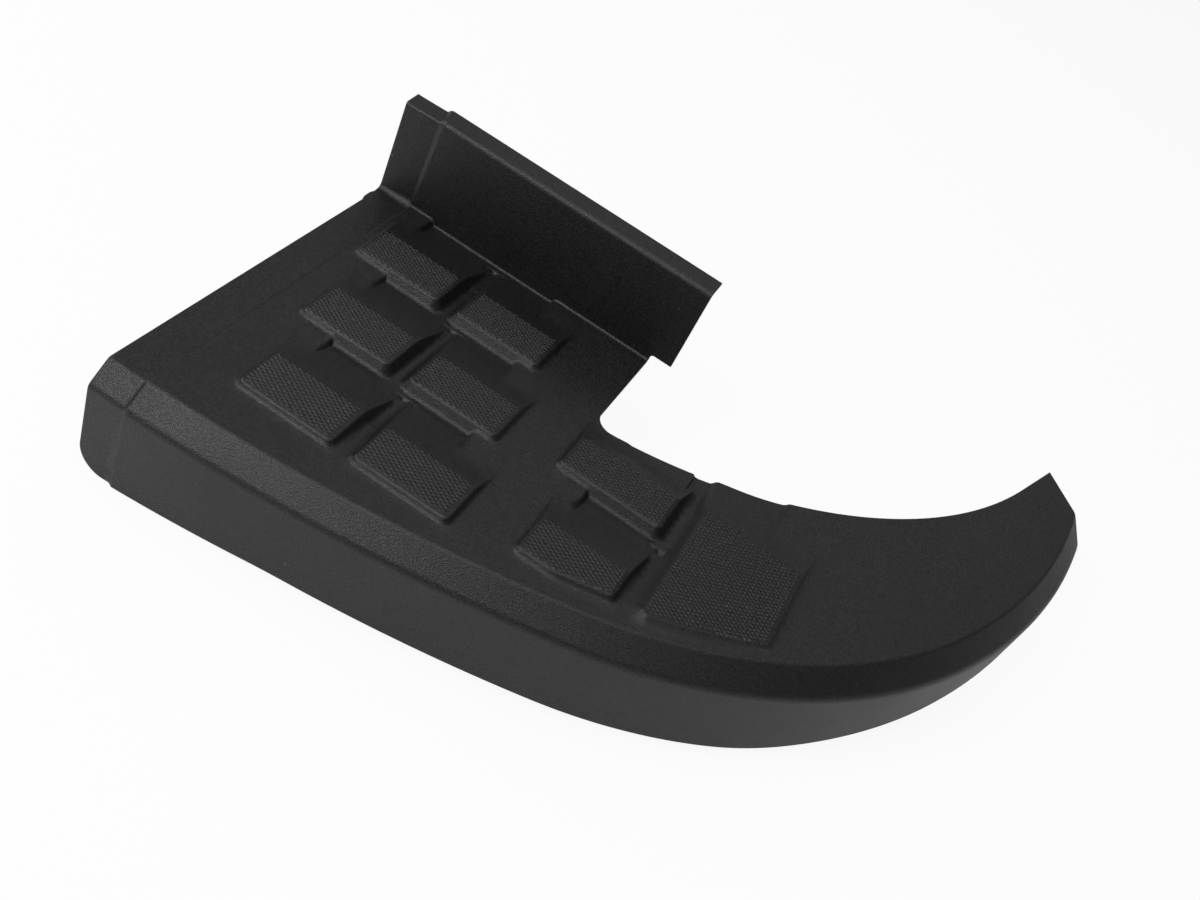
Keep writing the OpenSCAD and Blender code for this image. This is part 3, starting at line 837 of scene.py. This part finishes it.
def normals_of(q, k=0.0, h=0.03):
    dx, dy = np.array([[h, 0]]), np.array([[0, h]])
    du = surface(q + dx, k) - surface(q - dx, k)
    dv = surface(q + dy, k) - surface(q - dy, k)
    n = np.cross(du, dv)
    return n / np.linalg.norm(n, axis=1)[:, None]


def edge_drop(source, count):
    """How far each point is lowered to round the trimmed edge, and which are in the second ring."""
    drop = np.zeros(len(source))
    drop[(source >= 0) & (source < count)] = EDGE_R * RIM_DROP
    second = (source >= count) & (source < 2 * count)
    return drop, second


# The sheet's mesh: a fine outer face, a coarse inner face and the rim between them
loop = clean_loop(outline(OUTLINE_STEP), OUTLINE_LEAST)
low_insets = INSETS[1:2]
top_q, top_f, top_src, grain = triangulate(loop, INSETS, False)
low_q, low_f, low_src, _ = triangulate(loop, low_insets, True)
n_loop = len(loop)
top_n = normals_of(top_q)
top_p = surface(top_q)
drop, second = edge_drop(top_src, n_loop)
drop[second] = EDGE_R * SECOND_DROP
top_p = top_p - top_n * drop[:, None]
peaks = np.array([grain.get(int(s), False) for s in top_src])
top_p[peaks] += top_n[peaks] * GRAIN_H
low_n = normals_of(low_q, SHEET)
low_p = surface(low_q, SHEET)
drop, _ = edge_drop(low_src, n_loop)
low_p = low_p + low_n * drop[:, None]

offset = len(top_p)
points = np.concatenate([top_p, low_p])
flip = low_f[:, ::-1] + offset
top_index, low_index = {}, {}
for i, s in enumerate(top_src):
    if 0 <= s < n_loop:
        top_index[int(s)] = i
for i, s in enumerate(low_src):
    if 0 <= s < n_loop:
        low_index[int(s)] = i + offset
rim = []
for i in range(n_loop):
    j = (i + 1) % n_loop
    rim.append((top_index[i], low_index[i], low_index[j]))
    rim.append((top_index[i], low_index[j], top_index[j]))
faces = np.concatenate([top_f, flip, np.array(rim)])
points = (points + ORIGIN) * MM

mesh = bpy.data.meshes.new("cover_sheet")
mesh.vertices.add(len(points))
mesh.vertices.foreach_set("co", points.ravel())
mesh.loops.add(faces.size)
mesh.loops.foreach_set("vertex_index", faces.ravel().astype(np.int32))
mesh.polygons.add(len(faces))
mesh.polygons.foreach_set("loop_start", np.arange(0, faces.size, 3, dtype=np.int32))
mesh.update(calc_edges=True)
mesh.validate()
in_grain = np.zeros(len(points), bool)
in_grain[:len(top_p)] = [int(s) in grain for s in top_src]
grain_face = in_grain[faces].all(1)
mesh.polygons.foreach_set("use_smooth", ~grain_face)
cover = bpy.data.objects.new("cover_sheet", mesh)
bpy.context.scene.collection.objects.link(cover)

# Exact normals away from the trimmed edge and the grain
exact = np.zeros((len(points), 3))
mask = np.zeros(len(points), bool)
top_free = (top_src < 0) | (top_src >= (1 + len(INSETS)) * n_loop)
exact[:len(top_p)][top_free] = top_n[top_free]
mask[:len(top_p)] = top_free
low_free = (low_src < 0) | (low_src >= (1 + len(low_insets)) * n_loop)
exact[len(top_p):][low_free] = -low_n[low_free]
mask[len(top_p):] = low_free
loop_normals = np.where(mask[:, None], exact, 0.0)[faces.ravel()]
loop_normals[np.repeat(grain_face, 3)] = 0.0
mesh.normals_split_custom_set(loop_normals.tolist())

# Painted highlight on the grain's tips (positive) and painted shade in its grooves (negative), kept
# on the points for the material
grain_light_layer = mesh.attributes.new("grain_highlight_and_shade", "FLOAT", "POINT")
painted_tip_groove = np.zeros(len(points), np.float32)
painted_tip_groove[:len(top_p)][in_grain[:len(top_p)]] = GROOVE_SHADE
painted_tip_groove[:len(top_p)][peaks] = TIP_HIGHLIGHT
grain_light_layer.data.foreach_set("value", painted_tip_groove)

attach(cover, "root")
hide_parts("step_cover")


# The sheet's material
DARK_TONE, LIGHT_TONE = (0.0044, 0.0045, 0.0047), (0.0062, 0.0063, 0.0065)
SPECK_TONE = (0.16, 0.16, 0.155, 1)
SMOOTH, ROUGH = (0.35, 0.35, 0.35), (0.43, 0.43, 0.43)
BLACK, WHITE = (0, 0, 0), (1, 1, 1)


def black_sheet():
    """Satin black plastic with a fine grain, a few light specks, and on the pads' grain a painted
    highlight at the tips and painted shade in the grooves.
    """
    mat = bpy.data.materials.new("black_sheet")
    mat.use_nodes = True
    nt = mat.node_tree
    bsdf = nt.nodes["Principled BSDF"]
    coord = nt.nodes.new("ShaderNodeTexCoord")
    bsdf.inputs["Specular IOR Level"].default_value = 0.5

    def noise(scale, detail, rough):
        node = nt.nodes.new("ShaderNodeTexNoise")
        node.inputs["Scale"].default_value = scale
        node.inputs["Detail"].default_value = detail
        node.inputs["Roughness"].default_value = rough
        nt.links.new(coord.outputs["Object"], node.inputs["Vector"])
        return node

    def ramp(value, stops):
        node = nt.nodes.new("ShaderNodeValToRGB")
        elements = node.color_ramp.elements
        while len(elements) < len(stops):
            elements.new(0.5)
        for element, (pos, colour) in zip(elements, stops):
            element.position = pos
            element.color = (*colour, 1)
        nt.links.new(value, node.inputs["Fac"])
        return node

    cloud = noise(scale=14, detail=3, rough=0.55)
    tone = ramp(cloud.outputs["Fac"], [(0.3, DARK_TONE), (0.7, LIGHT_TONE)])
    dust = noise(scale=420, detail=2, rough=0.5)
    speck = ramp(dust.outputs["Fac"], [(0.0, BLACK), (0.775, BLACK), (0.79, WHITE)])
    mix = nt.nodes.new("ShaderNodeMix")
    mix.data_type = "RGBA"
    nt.links.new(speck.outputs["Color"], mix.inputs["Factor"])
    fleck = noise(scale=800, detail=1, rough=0.6)
    depth = ramp(fleck.outputs["Fac"], [(0.40, BLACK), (0.60, (2.0, 2.0, 2.0))])
    mottle = nt.nodes.new("ShaderNodeMix")
    mottle.data_type = "RGBA"
    mottle.blend_type = "MULTIPLY"
    mottle.inputs["Factor"].default_value = 1.0
    nt.links.new(tone.outputs["Color"], mottle.inputs["A"])
    nt.links.new(depth.outputs["Color"], mottle.inputs["B"])
    # The base colour is multiplied by one plus this attribute: painted highlight on the grain's
    # tips, painted shade in its grooves
    grain_light_input = nt.nodes.new("ShaderNodeAttribute")
    grain_light_input.attribute_name = "grain_highlight_and_shade"
    more = nt.nodes.new("ShaderNodeMath")
    more.operation = "ADD"
    more.inputs[1].default_value = 1.0
    nt.links.new(grain_light_input.outputs["Fac"], more.inputs[0])
    grain_light_mix = nt.nodes.new("ShaderNodeMix")
    grain_light_mix.data_type = "RGBA"
    grain_light_mix.blend_type = "MULTIPLY"
    grain_light_mix.inputs["Factor"].default_value = 1.0
    nt.links.new(mottle.outputs["Result"], grain_light_mix.inputs["A"])
    nt.links.new(more.outputs["Value"], grain_light_mix.inputs["B"])
    nt.links.new(grain_light_mix.outputs["Result"], mix.inputs["A"])
    mix.inputs["B"].default_value = SPECK_TONE
    nt.links.new(mix.outputs["Result"], bsdf.inputs["Base Color"])
    sheen = noise(scale=9, detail=3, rough=0.6)
    rough = ramp(sheen.outputs["Fac"], [(0.3, SMOOTH), (0.7, ROUGH)])
    nt.links.new(rough.outputs["Color"], bsdf.inputs["Roughness"])
    grain_fine = noise(scale=1900, detail=2, rough=0.6)
    cells = nt.nodes.new("ShaderNodeTexVoronoi")
    cells.feature = "SMOOTH_F1"
    cells.inputs["Scale"].default_value = 1300
    nt.links.new(coord.outputs["Object"], cells.inputs["Vector"])
    bump_cells = nt.nodes.new("ShaderNodeBump")
    bump_cells.inputs["Strength"].default_value = 0.6
    bump_cells.inputs["Distance"].default_value = 0.0004
    nt.links.new(cells.outputs["Distance"], bump_cells.inputs["Height"])
    bump = nt.nodes.new("ShaderNodeBump")
    bump.inputs["Strength"].default_value = 0.7
    bump.inputs["Distance"].default_value = 0.00025
    nt.links.new(grain_fine.outputs["Fac"], bump.inputs["Height"])
    nt.links.new(bump_cells.outputs["Normal"], bump.inputs["Normal"])
    nt.links.new(bump.outputs["Normal"], bsdf.inputs["Normal"])
    return mat


cover.data.materials.append(black_sheet())

# Stage, light and camera
FLOOR_SIZE, FLOOR_PLACE, FLOOR_GAP = 14, (0.1, 0.1), 0.0002
FLOOR_TO_CAMERA, FLOOR_TO_GLOSS = 0.92, 0.17
WORLD_LIGHT = 0.17


def studio_paper():
    """Pale floor that shows near white to the camera and a little to glossy rays."""
    mat = bpy.data.materials.new("studio_paper")
    mat.use_nodes = True
    nt = mat.node_tree
    bsdf = nt.nodes["Principled BSDF"]
    bsdf.inputs["Base Color"].default_value = (0.86, 0.86, 0.86, 1)
    bsdf.inputs["Roughness"].default_value = 0.9
    glow = nt.nodes.new("ShaderNodeEmission")
    glow.inputs["Color"].default_value = (1, 1, 1, 1)
    glow.inputs["Strength"].default_value = 1.0
    paths = nt.nodes.new("ShaderNodeLightPath")
    blend = nt.nodes.new("ShaderNodeMixShader")
    shine = nt.nodes.new("ShaderNodeMath")
    shine.operation = "MULTIPLY"
    shine.inputs[1].default_value = FLOOR_TO_GLOSS
    nt.links.new(paths.outputs["Is Glossy Ray"], shine.inputs[0])
    share = nt.nodes.new("ShaderNodeMath")
    share.operation = "MULTIPLY_ADD"
    share.inputs[1].default_value = FLOOR_TO_CAMERA
    nt.links.new(paths.outputs["Is Camera Ray"], share.inputs[0])
    nt.links.new(shine.outputs["Value"], share.inputs[2])
    nt.links.new(share.outputs["Value"], blend.inputs["Fac"])
    nt.links.new(bsdf.outputs["BSDF"], blend.inputs[1])
    nt.links.new(glow.outputs["Emission"], blend.inputs[2])
    nt.links.new(blend.outputs["Shader"], nt.nodes["Material Output"].inputs["Surface"])
    return mat


def studio_world():
    """Plain light from all round, which the camera sees as white."""
    world = bpy.data.worlds.new("studio_world")
    bpy.context.scene.world = world
    world.use_nodes = True
    nt = world.node_tree
    back = nt.nodes["Background"]
    back.inputs["Color"].default_value = (1, 1, 1, 1)
    back.inputs["Strength"].default_value = 1.0
    dim = nt.nodes.new("ShaderNodeBackground")
    dim.inputs["Color"].default_value = (1, 1, 1, 1)
    dim.inputs["Strength"].default_value = WORLD_LIGHT
    paths = nt.nodes.new("ShaderNodeLightPath")
    pick = nt.nodes.new("ShaderNodeMixShader")
    nt.links.new(paths.outputs["Is Camera Ray"], pick.inputs["Fac"])
    nt.links.new(dim.outputs["Background"], pick.inputs[1])
    nt.links.new(back.outputs["Background"], pick.inputs[2])
    nt.links.new(pick.outputs["Shader"], nt.nodes["World Output"].inputs["Surface"])


floor_z = float(points[:, 2].min()) - FLOOR_GAP
bpy.ops.mesh.primitive_plane_add(size=FLOOR_SIZE, location=(*FLOOR_PLACE, floor_z))
floor = bpy.context.object
floor.name = "studio_floor"
floor.data.materials.append(studio_paper())
studio_world()


# Soft boxes: name, place, width and height, and power
LAMP_AIM = Vector((0.05, 0, 0))
LAMPS = (
    ("soft_box_key", (-0.9, -1.35, 1.6), (1.0, 1.3), 25.0),
    ("soft_box_front", (-0.4, -1.35, 1.8), (1.0, 1.0), 3.0),
    ("soft_box_right", (0.9, -1.2, 1.8), (1.0, 1.0), 3.0),
    ("soft_box_left", (-2.0, 0.1, 1.0), (1.0, 1.0), 12.0),
    ("soft_box_top", (0.1, 0.2, 2.4), (1.0, 1.0), 12.0),
    ("soft_box_rear", (-0.2, 1.7, 1.4), (3.0, 0.8), 4.6),
)
for name, place, size, power in LAMPS:
    data = bpy.data.lights.new(name, "AREA")
    data.shape = "RECTANGLE"
    data.size, data.size_y = size
    data.energy = power
    lamp = bpy.data.objects.new(name, data)
    bpy.context.scene.collection.objects.link(lamp)
    lamp.location = place
    aim = LAMP_AIM - Vector(place)
    lamp.rotation_euler = aim.to_track_quat("-Z", "Y").to_euler()

# The photograph's camera, found from the object's own lines
FOCAL_PX, WIDTH_PX, SENSOR = 1221.6, 1200.0, 36.0
CAMERA_PLACE = (0.1122, -0.6424, 0.5762)
camera_data = bpy.data.cameras.new("photo_camera")
camera_data.sensor_fit = "HORIZONTAL"
camera_data.sensor_width = SENSOR
camera_data.lens = FOCAL_PX / WIDTH_PX * SENSOR
camera_data.clip_start = 0.01
camera = bpy.data.objects.new("photo_camera", camera_data)
bpy.context.scene.collection.objects.link(camera)
right = Vector((0.83040947, 0.41613637, 0.37047353))
down = Vector((0.54993768, -0.50552701, -0.66483907))
away = Vector((-0.08937934, 0.75582601, -0.64864348))
turn = Matrix((right, -down, -away)).transposed()
camera.matrix_world = Matrix.Translation(CAMERA_PLACE) @ turn.to_4x4()
bpy.context.scene.camera = camera

bpy.context.scene.view_settings.view_transform = "Standard"
